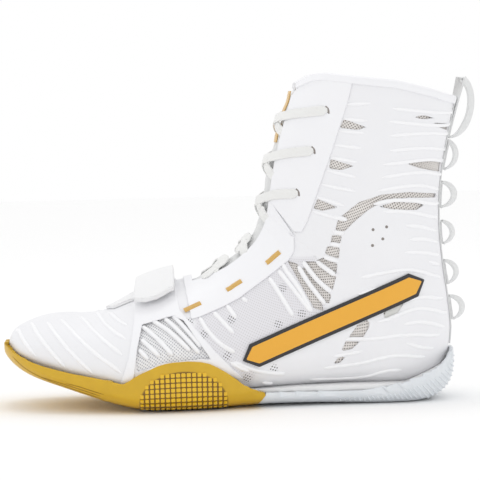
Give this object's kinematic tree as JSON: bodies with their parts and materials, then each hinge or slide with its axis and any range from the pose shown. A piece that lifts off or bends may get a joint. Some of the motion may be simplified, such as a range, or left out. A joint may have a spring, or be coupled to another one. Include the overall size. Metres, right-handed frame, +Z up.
{
  "type": "boxing boot",
  "caption": "High-top boxing boot with mesh and film upper, laced padded tongue, hook and loop instep strap, rubber cup sole and a row of heel pull loops; toe, ankle and strap move.",
  "frame": {"origin": "on the floor at the middle of the heel tread, in the boot's centre plane", "axes": "-X towards the toe, +Z up, -Y the outer (lateral) side of a left boot"},
  "size_m": [0.303, 0.105, 0.2098],
  "materials": {
    "badge": "satin",
    "board": "matt",
    "film": "satin",
    "foam": "matt",
    "gold_rubber": "satin",
    "gold_thread": "satin",
    "heel_rubber": "matt",
    "hook_loop": "matt",
    "knit": "matt",
    "lace": "matt",
    "mesh": "matt",
    "padding": "matt",
    "stiffener": "matt",
    "strap": "matt",
    "webbing": "matt"
  },
  "bodies": {
    "foot": {"badge_lateral": "badge", "badge_medial": "badge", "bar_tack_lateral_1": "gold_thread", "bar_tack_lateral_2": "gold_thread", "bar_tack_lateral_3": "gold_thread", "bar_tack_medial_1": "gold_thread", "bar_tack_medial_2": "gold_thread", "bar_tack_medial_3": "gold_thread", "board_foot": "board", "heel_counter": "stiffener", "heel_tape_lower": "webbing", "lace_lower": "lace", "lace_middle": "lace", "lining_flex": "mesh", "lining_foot_lateral": "mesh", "lining_foot_medial": "mesh", "loop_patch": "hook_loop", "lower_stay_lateral": "film", "lower_stay_medial": "film", "midsole_foot": "foam", "outsole_ball": "gold_rubber", "outsole_flex_lateral": "gold_rubber", "outsole_flex_medial": "gold_rubber", "outsole_heel": "heel_rubber", "pull_loop_4": "webbing", "pull_loop_5": "webbing", "pull_loop_6": "webbing", "quarter_lateral": "knit", "quarter_medial": "knit", "saddle_lateral": "film", "saddle_medial": "film", "sockliner_foot": "foam", "strap_tab": "strap", "tongue_lower": "padding", "vamp_flex": "knit"},
    "toe": {"outsole_toe": "gold_rubber", "midsole_toe": "foam", "board_toe": "board", "sockliner_toe": "foam", "toe_puff": "stiffener", "lining_toe": "mesh", "vamp_toe": "knit"},
    "shaft": {"lining_shaft_lateral": "mesh", "lining_shaft_medial": "mesh", "shaft_lateral": "knit", "shaft_medial": "knit", "upper_stay_lateral": "film", "upper_stay_medial": "film", "tongue_upper": "padding", "tongue_label": "badge", "lace_upper": "lace", "heel_tape_upper": "webbing", "collar_binding_lateral": "padding", "collar_binding_medial": "padding", "pull_loop_1": "webbing", "pull_loop_2": "webbing", "pull_loop_3": "webbing"},
    "strap": {"strap": "strap", "hook_patch": "hook_loop"}
  },
  "joints": [
    {"name": "toe_flex", "type": "hinge", "parent": "foot", "child": "toe", "pos_m": [-0.168, 0, 0.009], "axis": [0, 1, 0], "range_deg": [0, 15], "stiffness_Nm_per_rad": 1.2, "deforming": ["vamp_flex", "lining_flex", "outsole_flex_lateral", "outsole_flex_medial"]},
    {"name": "ankle_flex", "type": "hinge", "parent": "foot", "child": "shaft", "pos_m": [-0.012, 0, 0.08], "axis": [0, -1, 0], "range_deg": [-4, 12], "stiffness_Nm_per_rad": 1.6, "deforming": ["lace_middle"]},
    {"name": "strap_open", "type": "hinge", "parent": "foot", "child": "strap", "pos_m": [-0.138, 0.0505, 0.0415], "axis": [-1, 0, 0], "range_deg": [0, 110]}
  ]
}
